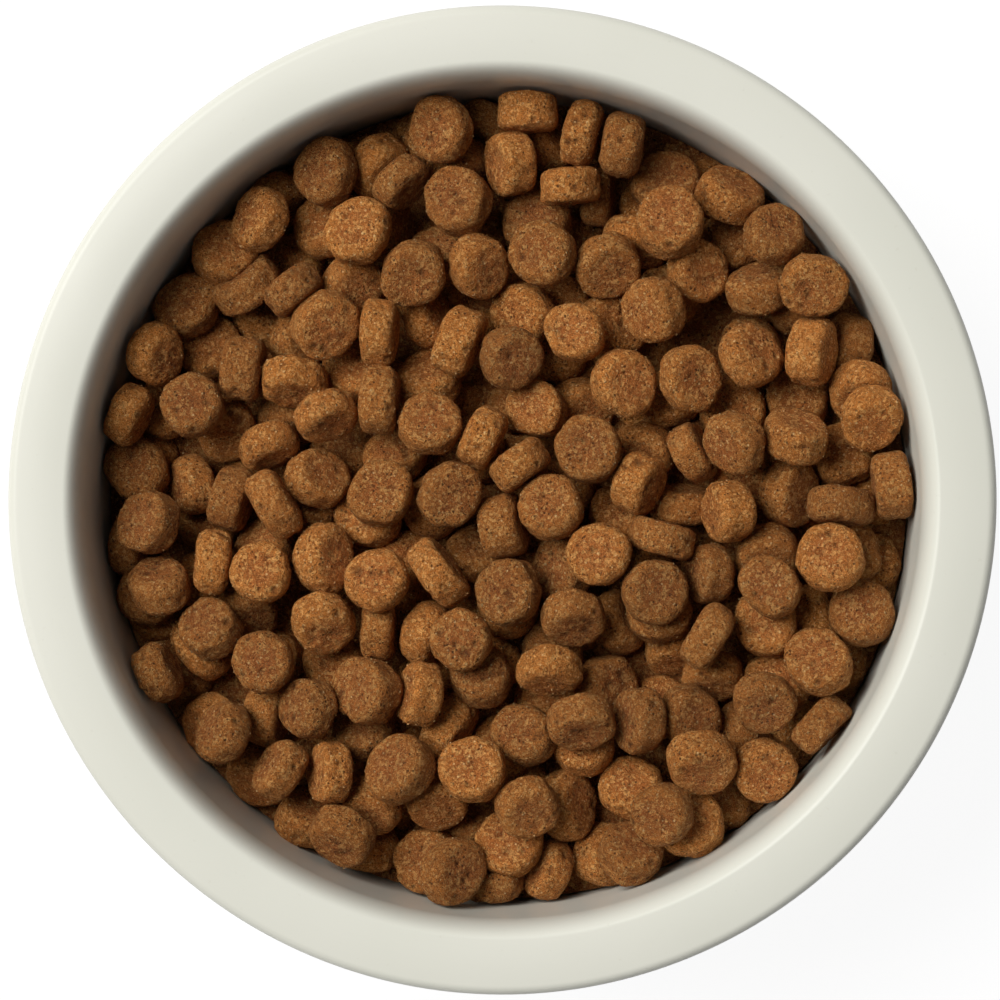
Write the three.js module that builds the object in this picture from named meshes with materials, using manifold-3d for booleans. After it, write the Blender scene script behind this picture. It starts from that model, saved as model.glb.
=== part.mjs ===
// A round stoneware pet bowl filled with dry kibble. Millimetres, +Z up.
// The origin is on the bowl's axis, in the plane that its foot ring stands on.
// The top pieces of kibble are loose, each where it came to rest. The food under and
// between them is one bed: a packed core with the next pieces standing out of it.

import * as THREE from "three";
import { mergeVertices } from "three/addons/utils/BufferGeometryUtils.js";
import Module from "manifold-3d";

const wasm = await Module();
wasm.setup();

// Bowl
const BOWL_DIAMETER = 160;
const BOWL_HEIGHT = 60;
const RIM_WIDTH = 12; // from the outer edge to the inner wall
const RIM_CROWN = 0.15; // how far the middle of the rim stands above its edges
const RIM_OUTER_ROUNDING = 2;
const FLARE_WIDTH = 3.8; // of the inner wall, where it rounds over into the rim
const FLARE_DEPTH = 7.5;
const OUTER_TAPER = 4; // how much narrower the outside is at the base
const INNER_TAPER = 2; // how much narrower the inside is at the floor
const WALL_BELLY = 0.7; // how far the outside swells between base and rim
const BASE_ROUNDING = 7;
const FLOOR_THICKNESS = 8;
const FLOOR_FILLET = 13;
const FOOT_INSET = 4; // from the base's outer edge to the foot ring
const FOOT_WIDTH = 5;
const FOOT_HEIGHT = 2;

// Kibble
const KIBBLE_DIAMETER = 10.8;
const KIBBLE_THICKNESS = 6.1;
const KIBBLE_ROUNDING = 2.2;
const SIZE_SPREAD = 0.05; // the pieces differ in size by up to this share
const FILL_DEPTH = 7.5; // from the rim's top to the food's surface on the axis
const HEAP_HEIGHT = 2; // how much higher the food is in the middle than at the wall
const CORE_DEPTH = 10.5; // from the food's surface to the core's
const UPPER_BED_DEPTH = 0.6; // from the food's surface to the tops of the bed's upper pieces
const LOWER_BED_DEPTH = 3.5;
const FUSED_OVERLAP = 0.6; // between neighbours in the bed

const CLEARANCE = 0.3; // between the food and the bowl
const CONTACT_GAP = 0.12; // between pieces that touch

const BOWL_SEGMENTS = 56;
const CORE_SEGMENTS = 28;
const LOOSE_SEGMENTS = 9;
const BED_SEGMENTS = 7;
const ROUNDS = 150; // of easing the pieces apart

// Where the pieces of kibble lie in a bowl whose inner radius is PLACES_RADIUS, as seen from
// above: x and y of the middle, how far the flat faces lean out of level, in degrees, and the
// heading that the upper face turns to, in degrees from +X towards +Y. The whole heap lies
// PLACES_SHIFT along X from these places.
const PLACES_RADIUS = 68;
const PLACES_SHIFT = -0.65;
const LOOSE_PLACES = [
  [-39.0, 46.2, 48, 160],
  [-29.3, 55.6, 30, 160],
  [-11.3, 62.3, 28, 190],
  [-6.9, 49.3, 25, 140],
  [-15.6, 52.9, 68, 318],
  [-22.7, 45.2, 15, 115],
  [-3.4, 38.4, 40, 330],
  [4.2, 63.7, 84, 268],
  [11.4, 53.1, 90, 94],
  [6.7, 40.3, 22, 160],
  [28.6, 45.7, 25, 95],
  [25.4, 31.4, 40, 200],
  [-58.6, 25.4, 52, 340],
  [-50.0, 15.6, 15, 100],
  [-37.0, -0.2, 90, 32],
  [-28.6, 28.9, 28, 315],
  [-19.3, 16.4, 88, 355],
  [-28.2, 13.8, 55, 300],
  [-11.1, 12.4, 22, 75],
  [-18.3, 1.1, 12, 100],
  [-8.9, 0.9, 18, 330],
  [2.0, 23.5, 28, 320],
  [12.6, 27.4, 12, 110],
  [20.9, 19.2, 25, 350],
  [14.8, 8.3, 12, 120],
  [3.0, 5.6, 88, 304],
  [31.0, 20.0, 25, 350],
  [46.8, 10.5, 60, 78],
  [40.0, 9.2, 46, 200],
  [60.7, 13.8, 34, 280],
  [-58.0, -3.2, 34, 165],
  [-39.0, -11.8, 12, 100],
  [-38.8, -26.6, 8, 140],
  [-20.0, -13.2, 15, 110],
  [1.5, -14.8, 22, 170],
  [-6.4, -22.9, 5, 120],
  [-29.0, -20.1, 45, 290],
  [-21.7, -31.3, 38, 170],
  [-31.9, -34.1, 45, 170],
  [8.3, -1.3, 15, 110],
  [16.1, -8.6, 12, 130],
  [26.6, -6.1, 88, 76],
  [12.6, -19.4, 50, 280],
  [25.4, -14.8, 15, 20],
  [8.4, -28.0, 60, 270],
  [44.5, -14.0, 8, 110],
  [54.0, -9.4, 10, 130],
  [34.8, -22.0, 88, 328],
  [43.9, -33.6, 30, 285],
  [34.5, -43.4, 40, 285],
  [13.2, -37.0, 44, 278],
  [26.9, -50.7, 25, 200],
  [4.5, -50.8, 34, 300],
  [-17.3, -45.1, 36, 140],
  [-4.3, -44.3, 20, 110],
  [-45.1, -38.1, 58, 155],
  [46.0, 44.8, 40, 55],
  [52.0, 35.6, 20, 280],
];
const UPPER_BED_PLACES = [
  [-43.3, 36.6, 70, 125],
  [-10.8, 36.8, 20, 280],
  [-35.6, 34.7, 86, 310],
  [14.0, 60.6, 87, 346],
  [20.6, 58.0, 88, 350],
  [1.8, 55.4, 64, 190],
  [17.3, 38.4, 35, 290],
  [-43.2, 20.9, 88, 353],
  [-63.7, 14.8, 84, 332],
  [-34.2, 19.8, 55, 275],
  [-19.8, 28.0, 86, 354],
  [-6.9, 26.0, 83, 338],
  [-3.3, 11.0, 86, 332],
  [22.4, 2.9, 70, 335],
  [39.5, 22.8, 45, 35],
  [51.6, 24.8, 70, 352],
  [64.0, 2.0, 86, 188],
  [-47.6, -10.4, 84, 175],
  [-55.2, -14.0, 55, 100],
  [-47.3, -21.4, 35, 130],
  [-56.1, -28.1, 78, 30],
  [-29.0, -9.6, 45, 0],
  [-10.2, -11.9, 83, 38],
  [-12.9, -32.0, 64, 170],
  [0.6, -4.6, 80, 12],
  [37.0, -3.0, 66, 185],
  [58.1, -1.8, 84, 265],
  [51.0, -27.0, 27, 115],
  [33.8, -12.5, 64, 185],
  [53.7, -37.0, 82, 317],
  [23.4, -36.0, 60, 182],
  [-27.7, -45.9, 64, 178],
  [-26.2, -54.5, 50, 245],
  [-6.6, -61.4, 38, 0],
  [-36.5, -44.3, 60, 150],
];
const LOWER_BED_PLACES = [
  [-47.8, 42.3, 25, 80],
  [-53.0, 36.4, 20, 120],
  [-40.5, 52.6, 68, 305],
  [-20.4, 55.0, 60, 318],
  [-29.2, 45.0, 22, 105],
  [-10.5, 40.0, 30, 90],
  [-25.3, 35.3, 35, 315],
  [-4.6, 63.4, 65, 230],
  [-6.3, 57.3, 65, 297],
  [5.8, 45.6, 20, 100],
  [22.0, 41.8, 65, 255],
  [27.3, 52.9, 27, 65],
  [30.0, 34.7, 25, 160],
  [18.5, 30.0, 35, 20],
  [-48.8, 26.2, 20, 90],
  [-56.3, 15.7, 20, 130],
  [-61.2, 5.4, 20, 110],
  [-45.5, 10.2, 40, 300],
  [-38.8, 7.3, 70, 290],
  [-50.0, 2.3, 65, 190],
  [-43.9, 0.6, 80, 345],
  [-13.2, 29.2, 60, 25],
  [-12.0, 20.3, 45, 100],
  [-32.2, 2.2, 45, 40],
  [-24.5, -1.0, 20, 130],
  [3.5, 30.2, 25, 200],
  [12.0, 14.9, 35, 330],
  [5.2, 14.2, 20, 150],
  [25.8, 7.9, 30, 240],
  [31.3, 6.0, 72, 30],
  [42.7, 26.4, 20, 130],
  [49.2, 15.8, 20, 100],
  [58.2, 26.4, 60, 170],
  [59.6, 18.8, 40, 270],
  [55.6, 5.7, 25, 80],
  [48.4, 0.3, 48, 345],
  [38.5, 4.0, 20, 270],
  [-40.5, -7.0, 45, 120],
  [-60.6, -15.8, 25, 60],
  [-42.5, -18.4, 40, 290],
  [-50.6, -24.9, 74, 38],
  [-5.2, -9.3, 40, 80],
  [-19.8, -21.2, 86, 356],
  [-3.6, -29.3, 30, 100],
  [-12.5, -22.0, 75, 330],
  [29.6, -0.3, 80, 84],
  [10.3, -11.2, 40, 180],
  [26.3, -17.9, 15, 100],
  [20.8, -21.0, 65, 25],
  [18.6, -29.6, 30, 0],
  [44.0, -6.3, 35, 280],
  [57.9, -11.5, 12, 140],
  [60.2, -19.0, 18, 100],
  [52.8, -18.6, 65, 20],
  [44.6, -21.4, 15, 100],
  [37.0, -31.0, 55, 265],
  [43.5, -29.6, 20, 90],
  [42.9, -45.6, 25, 300],
  [40.1, -38.4, 70, 45],
  [6.1, -39.5, 25, 140],
  [12.8, -42.6, 25, 100],
  [29.6, -34.3, 25, 330],
  [19.8, -48.3, 30, 100],
  [21.2, -58.3, 45, 70],
  [30.0, -56.4, 20, 110],
  [12.3, -52.9, 50, 10],
  [1.9, -59.1, 15, 110],
  [8.4, -62.6, 58, 160],
  [15.3, -61.8, 50, 350],
  [-23.6, -38.9, 35, 110],
  [-9.0, -36.9, 75, 325],
  [-20.6, -50.2, 40, 260],
  [-10.9, -49.6, 40, 285],
  [-24.3, -58.9, 60, 80],
  [-11.8, -61.8, 20, 160],
  [-32.3, -54.2, 50, 60],
  [-48.0, -40.0, 50, 210],
  [-39.3, -36.6, 75, 350],
  [-42.2, -46.4, 40, 240],
  [37.6, 43.7, 20, 100],
  [39.6, 49.4, 55, 60],
  [35.2, 37.9, 30, 0],
  [41.2, 34.7, 60, 100],
  [46.5, 32.6, 30, 90],
];

const outerRadius = BOWL_DIAMETER / 2;
const innerRadius = outerRadius - RIM_WIDTH;
const floorRadius = innerRadius - INNER_TAPER;
const UP = new THREE.Vector3(0, 0, 1);

const randomNumbers = (function* (seed) {
  let state = seed;
  while (true) {
    state = (state * 1664525 + 1013904223) % 4294967296;
    yield state / 4294967296;
  }
})(7);

function random(low = 0, high = 1) {
  return low + (high - low) * randomNumbers.next().value;
}

// Points of an arc about (r, z), both ends included. It is part of an ellipse where it has a
// height of its own.
function arc(r, z, radius, fromDegrees, toDegrees, steps, height = radius) {
  return Array.from({ length: steps + 1 }, (_, i) => {
    const angle = THREE.MathUtils.degToRad(fromDegrees + ((toDegrees - fromDegrees) * i) / steps);
    return new THREE.Vector2(r + radius * Math.cos(angle), z + height * Math.sin(angle));
  });
}

// A solid turned about Z from a profile that starts and ends on the axis.
function turned(profile, segments) {
  return new THREE.LatheGeometry(profile, segments).rotateX(Math.PI / 2);
}

function solidFrom(geometry, matrix = new THREE.Matrix4()) {
  const bare = geometry.clone().applyMatrix4(matrix);
  bare.deleteAttribute("normal");
  bare.deleteAttribute("uv");
  const merged = mergeVertices(bare, 1e-4);
  return new wasm.Manifold(
    new wasm.Mesh({
      numProp: 3,
      vertProperties: merged.attributes.position.array,
      triVerts: new Uint32Array(merged.index.array),
    }),
  );
}

function geometryFrom(solid) {
  const { numProp, vertProperties, triVerts } = solid.getMesh();
  const geometry = new THREE.BufferGeometry();
  const positions = new Float32Array((vertProperties.length / numProp) * 3);
  for (let i = 0; i < positions.length / 3; i++) {
    positions.set(vertProperties.subarray(i * numProp, i * numProp + 3), i * 3);
  }
  geometry.setAttribute("position", new THREE.BufferAttribute(positions, 3));
  geometry.setIndex(new THREE.BufferAttribute(triVerts, 1));
  geometry.computeVertexNormals();
  return geometry;
}

// The inside of the bowl below its flare, from the floor's edge up, set back by a gap.
function innerWall(gap) {
  const radius = FLOOR_FILLET - gap;
  return arc(floorRadius - FLOOR_FILLET, FLOOR_THICKNESS + FLOOR_FILLET, radius, -90, 0, 4);
}

function wallRadiusAt(z) {
  const bottom = FLOOR_THICKNESS + FLOOR_FILLET;
  const top = BOWL_HEIGHT - RIM_CROWN - FLARE_DEPTH;
  const share = THREE.MathUtils.clamp((z - bottom) / (top - bottom), 0, 1);
  return floorRadius + INNER_TAPER * share;
}

function outerWall() {
  const baseRadius = outerRadius - OUTER_TAPER;
  const bottom = FOOT_HEIGHT + BASE_ROUNDING;
  const top = BOWL_HEIGHT - RIM_CROWN - RIM_OUTER_ROUNDING;
  return [0.33, 0.67].map((share) => {
    const straight = baseRadius + OUTER_TAPER * share;
    const swell = WALL_BELLY * Math.sin(Math.PI * share);
    return new THREE.Vector2(straight + swell, bottom + (top - bottom) * share);
  });
}

function bowlGeometry() {
  const baseRadius = outerRadius - OUTER_TAPER;
  const footRadius = baseRadius - FOOT_INSET;
  const rimEdge = BOWL_HEIGHT - RIM_CROWN;
  const outerEdge = outerRadius - RIM_OUTER_ROUNDING;
  const innerEdge = innerRadius + FLARE_WIDTH;
  const profile = [
    new THREE.Vector2(0, FOOT_HEIGHT),
    new THREE.Vector2(footRadius - FOOT_WIDTH - FOOT_HEIGHT, FOOT_HEIGHT),
    new THREE.Vector2(footRadius - FOOT_WIDTH, 0),
    new THREE.Vector2(footRadius, 0),
    new THREE.Vector2(footRadius, FOOT_HEIGHT),
    ...arc(baseRadius - BASE_ROUNDING, FOOT_HEIGHT + BASE_ROUNDING, BASE_ROUNDING, -60, 0, 2),
    ...outerWall(),
    ...arc(outerEdge, rimEdge - RIM_OUTER_ROUNDING, RIM_OUTER_ROUNDING, 0, 90, 3),
    new THREE.Vector2((outerEdge + innerEdge) / 2, BOWL_HEIGHT),
    ...arc(innerEdge, rimEdge - FLARE_DEPTH, FLARE_WIDTH, 90, 180, 5, FLARE_DEPTH),
    ...innerWall(0).reverse(),
    new THREE.Vector2(0, FLOOR_THICKNESS),
  ];
  return turned(profile, BOWL_SEGMENTS);
}

// The height of the food's surface at a distance from the axis.
function foodHeight(distance) {
  const fall = HEAP_HEIGHT * (distance / innerRadius) ** 2;
  return BOWL_HEIGHT - FILL_DEPTH - fall;
}

function coreHeight(distance) {
  return foodHeight(distance) - CORE_DEPTH;
}

function coreGeometry() {
  const edge = coreHeight(innerRadius);
  const radius = wallRadiusAt(edge) - CLEARANCE;
  const profile = [
    new THREE.Vector2(0, FLOOR_THICKNESS + CLEARANCE),
    ...innerWall(CLEARANCE),
    ...[1, 0.7, 0.4].map((share) => new THREE.Vector2(radius * share, coreHeight(radius * share))),
    new THREE.Vector2(0, coreHeight(0)),
  ];
  return turned(profile, CORE_SEGMENTS);
}

// A round piece of kibble, a puck with soft edges. Its side is drawn as rings at these angles
// round the edge's rounding, the same above and below the middle.
function kibbleGeometry(piece, ringAngles, segments) {
  const upper = ringAngles.map((angle) => {
    const turn = THREE.MathUtils.degToRad(angle);
    const out = piece.flat + KIBBLE_ROUNDING * Math.cos(turn);
    return new THREE.Vector2(out, angle === 0 ? 0 : piece.core + KIBBLE_ROUNDING * Math.sin(turn));
  });
  const lower = upper.filter(({ y }) => y > 0).map(({ x, y }) => new THREE.Vector2(x, -y));
  const profile = [
    new THREE.Vector2(0, -piece.thickness / 2),
    ...lower,
    ...upper.reverse(),
    new THREE.Vector2(0, piece.thickness / 2),
  ];
  return turned(profile, segments);
}

// A piece's place, size and attitude. Its outline for contact is a short cylinder, flat and core
// in radius and half height, with a rounding all over it.
function makePiece([x, y, lean, heading], depth) {
  const tilt = THREE.MathUtils.degToRad(lean);
  const turn = THREE.MathUtils.degToRad(heading);
  const size = random(1 - SIZE_SPREAD, 1 + SIZE_SPREAD);
  const thickness = KIBBLE_THICKNESS * size;
  const level = Math.sin(tilt);
  const piece = {
    depth,
    thickness,
    flat: (KIBBLE_DIAMETER * size) / 2 - KIBBLE_ROUNDING,
    core: thickness / 2 - KIBBLE_ROUNDING,
    middle: new THREE.Vector3(x + PLACES_SHIFT, y, 0).multiplyScalar(innerRadius / PLACES_RADIUS),
    axis: new THREE.Vector3(level * Math.cos(turn), level * Math.sin(turn), Math.cos(tilt)),
  };
  piece.middle.z = restHeight(piece);
  piece.home = piece.middle.clone();
  return piece;
}

// Half of a piece's extent along a direction.
function reach(piece, direction) {
  const along = Math.abs(piece.axis.dot(direction));
  const across = Math.sqrt(Math.max(0, 1 - along * along));
  return piece.core * along + piece.flat * across + KIBBLE_ROUNDING;
}

// Where a piece's middle is when its top lies at its depth under the food's surface.
function restHeight(piece) {
  const distance = Math.hypot(piece.middle.x, piece.middle.y);
  return foodHeight(distance) - piece.depth - reach(piece, UP);
}

function nearestPoint(piece, point) {
  const offset = point.clone().sub(piece.middle);
  const height = offset.dot(piece.axis);
  const radial = offset.addScaledVector(piece.axis, -height).clampLength(0, piece.flat);
  const kept = THREE.MathUtils.clamp(height, -piece.core, piece.core);
  return radial.add(piece.middle).addScaledVector(piece.axis, kept);
}

// The gap between two pieces, below zero where they overlap, and the way from a to b.
function gapBetween(a, b) {
  let onA = a.middle;
  let onB = nearestPoint(b, onA);
  for (let i = 0; i < 40; i++) {
    const next = nearestPoint(a, onB);
    const moved = next.distanceToSquared(onA);
    onA = next;
    onB = nearestPoint(b, onA);
    if (moved < 1e-7) break;
  }
  const between = onB.clone().sub(onA);
  const way = between.lengthSq() > 1e-4 ? between.clone() : b.middle.clone().sub(a.middle);
  return { gap: between.length() - 2 * KIBBLE_ROUNDING, way: way.normalize() };
}

function near(piece, others) {
  const far = KIBBLE_DIAMETER * (1 + SIZE_SPREAD) + CLEARANCE;
  return others.filter(
    (other) => other !== piece && other.middle.distanceToSquared(piece.middle) < far * far,
  );
}

function clearOf(piece, others) {
  return near(piece, others).every((other) => gapBetween(piece, other).gap > 0.9 * CONTACT_GAP);
}

// Moves a piece in until it clears the wall. A wide piece meets the round wall at its corners.
function keepInside(piece) {
  const outward = new THREE.Vector3(piece.middle.x, piece.middle.y, 0);
  const distance = outward.length();
  outward.normalize();
  const half = reach(piece, new THREE.Vector3(-outward.y, outward.x, 0));
  const room = wallRadiusAt(piece.middle.z) - 1.5 * CLEARANCE - (half * half) / (4 * innerRadius);
  const limit = room - reach(piece, outward);
  if (distance > limit) piece.middle.addScaledVector(outward, limit - distance);
}

// Eases overlapping pieces apart, each held near its own place.
function easeApart(loose, bed) {
  const pieces = [...loose, ...bed];
  for (let round = 0; round < ROUNDS; round++) {
    const pull = 0.1 * (1 - round / ROUNDS);
    for (const piece of pieces) {
      piece.middle.lerp(piece.home, pull);
      for (const other of near(piece, pieces)) {
        const fused = piece.depth > 0 && other.depth > 0;
        const { gap, way } = gapBetween(piece, other);
        const lack = (fused ? -FUSED_OVERLAP : CONTACT_GAP) - gap;
        if (lack <= 0) continue;
        const share = piece.depth < other.depth ? 0.8 : piece.depth > other.depth ? 0.2 : 0.5;
        other.middle.addScaledVector(way, lack * share * 0.5);
        piece.middle.addScaledVector(way, -lack * (1 - share) * 0.5);
      }
      keepInside(piece);
      const sunk = CONTACT_GAP - heightOverCore(piece);
      if (piece.depth === 0 && sunk > 0) piece.middle.z += sunk;
    }
  }
}

// How far a piece is over the core, from the lowest points of its two rims.
function heightOverCore(piece) {
  const along = new THREE.Vector3().crossVectors(piece.axis, UP);
  const level = along.lengthSq() > 1e-6 ? along.normalize() : new THREE.Vector3(1, 0, 0);
  const downhill = new THREE.Vector3().crossVectors(piece.axis, level);
  const heights = [];
  for (let turn = 0; turn < 2 * Math.PI; turn += Math.PI / 8) {
    const rim = level.clone().multiplyScalar(piece.flat * Math.cos(turn));
    rim.addScaledVector(downhill, piece.flat * Math.sin(turn)).add(piece.middle);
    for (const side of [-piece.core, piece.core]) {
      const point = rim.clone().addScaledVector(piece.axis, side);
      heights.push(point.z - KIBBLE_ROUNDING - coreHeight(Math.hypot(point.x, point.y)));
    }
  }
  return Math.min(...heights);
}

// Lets a piece down until it rests on others or on the core, and up again where it overlaps.
function seat(piece, others) {
  while (!clearOf(piece, others) || heightOverCore(piece) < 0.9 * CONTACT_GAP) {
    piece.middle.z += 0.1;
  }
  for (let i = 0; i < 200; i++) {
    const gaps = near(piece, others).map((other) => gapBetween(piece, other).gap);
    const least = Math.min(1, ...gaps, heightOverCore(piece)) - CONTACT_GAP;
    if (least < 0.005) break;
    piece.middle.z -= least;
  }
}

// Sinks a piece of the bed out of the way of the loose ones. It reports whether there was room.
function sink(piece, loose) {
  for (let i = 0; i < 25; i++) {
    if (clearOf(piece, loose)) return true;
    piece.middle.z -= 0.2;
    keepInside(piece);
  }
  return false;
}

function settle(loose, bed) {
  easeApart(loose, bed);
  const upwards = [...loose].sort((a, b) => a.middle.z - b.middle.z);
  upwards.forEach((piece, i) => {
    const below = upwards.slice(0, i);
    while (!clearOf(piece, below)) piece.middle.z += 0.1;
  });
  const kept = bed.filter((piece) => sink(piece, loose));
  for (const piece of upwards) {
    const others = [...loose, ...kept].filter((other) => other !== piece);
    seat(piece, others);
  }
  return kept;
}

function placement(piece) {
  const turn = new THREE.Quaternion().setFromUnitVectors(UP, piece.axis);
  return new THREE.Matrix4().compose(piece.middle, turn, new THREE.Vector3(1, 1, 1));
}

// The core and the pieces fused to it. A hollow closed in between them is filled, which the
// largest body's outer surface is.
function bedGeometry(pieces) {
  let bed = solidFrom(coreGeometry());
  for (const piece of pieces) {
    bed = bed.add(solidFrom(kibbleGeometry(piece, [50, 0], BED_SEGMENTS), placement(piece)));
  }
  const bodies = bed.decompose().sort((a, b) => b.volume() - a.volume());
  return geometryFrom(bodies[0]);
}

function stoneware() {
  return new THREE.MeshStandardMaterial({ color: 0xdedfd3, roughness: 0.2, metalness: 0 });
}

function bakedFood(shade) {
  const color = new THREE.Color(0xa5703f).multiplyScalar(shade);
  return new THREE.MeshStandardMaterial({ color, roughness: 0.9, metalness: 0 });
}

function namedMesh(name, geometry, material) {
  const mesh = new THREE.Mesh(geometry, material);
  mesh.name = name;
  return mesh;
}

function looseKibble(piece, number) {
  const geometry = kibbleGeometry(piece, [70, 25], LOOSE_SEGMENTS);
  const name = `kibble_${String(number).padStart(2, "0")}`;
  const mesh = namedMesh(name, geometry, bakedFood(random(0.9, 1.1)));
  mesh.position.copy(piece.middle);
  mesh.quaternion.setFromUnitVectors(UP, piece.axis);
  return mesh;
}

const loose = LOOSE_PLACES.map((place) => makePiece(place, 0));
const bed = [
  ...UPPER_BED_PLACES.map((place) => makePiece(place, UPPER_BED_DEPTH)),
  ...LOWER_BED_PLACES.map((place) => makePiece(place, LOWER_BED_DEPTH)),
];
const keptBed = settle(loose, bed);

const filledBowl = new THREE.Group();
filledBowl.add(namedMesh("bowl", bowlGeometry(), stoneware()));
filledBowl.add(namedMesh("kibble_bed", bedGeometry(keptBed), bakedFood(0.85)));
loose.forEach((piece, i) => filledBowl.add(looseKibble(piece, i + 1)));

export default filledBowl;
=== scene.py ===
"""Looks for the pet bowl filled with kibble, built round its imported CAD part.

The frame is the part's own: +Z up along the bowl's axis, the foot ring's underside at z = 0. Shapes
are worked out in millimetres, and the meshes, lights and camera are in metres.
"""

import math

import bpy
import numpy as np
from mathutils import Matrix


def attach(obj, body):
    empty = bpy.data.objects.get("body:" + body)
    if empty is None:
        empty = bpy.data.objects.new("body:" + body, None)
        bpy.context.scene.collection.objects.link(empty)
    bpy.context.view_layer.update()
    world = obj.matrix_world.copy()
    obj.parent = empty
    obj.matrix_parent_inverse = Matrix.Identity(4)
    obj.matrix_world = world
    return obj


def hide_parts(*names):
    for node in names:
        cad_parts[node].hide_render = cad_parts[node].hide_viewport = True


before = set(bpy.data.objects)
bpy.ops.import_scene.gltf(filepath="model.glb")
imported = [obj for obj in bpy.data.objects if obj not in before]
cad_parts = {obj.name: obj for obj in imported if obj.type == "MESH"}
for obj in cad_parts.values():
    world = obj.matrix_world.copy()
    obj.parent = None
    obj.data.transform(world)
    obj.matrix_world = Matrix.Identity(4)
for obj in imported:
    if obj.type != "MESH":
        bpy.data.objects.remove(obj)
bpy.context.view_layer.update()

MM = 0.001

# The bowl's sizes in millimetres. They are the CAD part's, but for the rim's outer rounding and the
# flare's width, which are a little smaller here and match the photograph's shading better.
OUTER_RADIUS = 80.0
BOWL_HEIGHT = 60.0
INNER_RADIUS = 68.0
RIM_CROWN = 0.15
RIM_OUTER_ROUNDING = 1.6
FLARE_WIDTH = 3.1
FLARE_DEPTH = 7.5
OUTER_TAPER = 4.0
INNER_TAPER = 2.0
WALL_BELLY = 0.7
BASE_ROUNDING = 7.0
FLOOR_THICKNESS = 8.0
FLOOR_FILLET = 13.0
FOOT_INSET = 4.0
FOOT_WIDTH = 5.0
FOOT_HEIGHT = 2.0
FOOT_OUTER_ROUNDING = 0.5
FOOT_INNER_ROUNDING = 0.4

# The kibble's sizes in millimetres, as in the CAD part
KIBBLE_DIAMETER = 10.8
KIBBLE_THICKNESS = 6.1
KIBBLE_ROUNDING = 2.2
SIZE_SPREAD = 0.05
FILL_DEPTH = 7.5
HEAP_HEIGHT = 2.0
GAP = 0.12

# How the heap settles, in millimetres but for the shares and counts
HOME_PULL = np.array([0.12, 0.12, 0.03])  # share of the way back to its place in one round
PULL_LOSS = 0.9  # share of that pull lost by the last round
SEARCH_ROUNDS = 20  # rounds between two searches for neighbours
SEARCH_MARGIN = 2.5
CONTACT_ROUNDS = 5  # to find the nearest points of two pieces
OVERLAP_ROUNDS = 12  # the same, where the overlap itself is measured
SHARED_CONTACTS = 1.4  # from this many contacts on, a piece's moves are averaged
MOST_RISE = 0.3
MOST_SINKING = 4.0  # of a piece with mobility 1
MOST_OVERLAP = 2.0  # of a filling piece with one that shows

# How far the tops of each layer of the bed lie under the food's surface
UPPER_DEPTH = 0.6
LOWER_DEPTH = 4.4
DEEP_DEPTH = 9.0
WALL_DEPTH = 3.6
HIDDEN_DEPTH = 13.5
CORE_DEPTH = 18.0

# The filling pieces: by the wall where it is bare, and in rings under the rest
WALL_STAND_OFF = 4.0
WALL_STEP = 3  # degrees
BARE_WALL = 5.6
WALL_LEANS = (62, 85)  # degrees
WALL_TURN = 25  # degrees
HIDDEN_RINGS = 8
HIDDEN_EDGE = 6.5
HIDDEN_LEANS = (0, 80)  # degrees

# The bed's pieces as the photograph shows them: x and y of the middle in millimetres, the lean
# of the flat faces and the heading of the upper face in degrees. The heap lies PLACES_SHIFT
# along X from these places.
PLACES_SHIFT = -0.65
UPPER_PLACES = [
    (-43.3, 36.6, 70, 125), (-10.8, 36.8, 20, 280), (-35.6, 34.7, 86, 310), (14.0, 60.6, 87, 346),
    (20.6, 58.0, 88, 350), (1.8, 55.4, 64, 190), (17.3, 38.4, 35, 290), (-43.2, 20.9, 88, 353),
    (-63.7, 14.8, 84, 332), (-34.2, 19.8, 55, 275), (-19.8, 28.0, 86, 354), (-6.9, 26.0, 83, 338),
    (-3.3, 11.0, 86, 332), (22.4, 2.9, 70, 335), (39.5, 22.8, 45, 35), (51.6, 24.8, 70, 352),
    (64.0, 2.0, 86, 188), (-47.6, -10.4, 84, 175), (-55.2, -14.0, 55, 100),
    (-47.3, -21.4, 35, 130), (-56.1, -28.1, 78, 30), (-29.0, -9.6, 45, 0), (-10.2, -11.9, 83, 38),
    (-12.9, -32.0, 64, 170), (0.6, -4.6, 80, 12), (37.0, -3.0, 66, 185), (58.1, -1.8, 84, 265),
    (51.0, -27.0, 27, 115), (33.8, -12.5, 64, 185), (53.7, -37.0, 82, 317),
    (23.4, -36.0, 60, 182), (-27.7, -45.9, 64, 178), (-26.2, -54.5, 50, 245),
    (-6.6, -61.4, 38, 0), (-36.5, -44.3, 60, 150),
]
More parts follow.
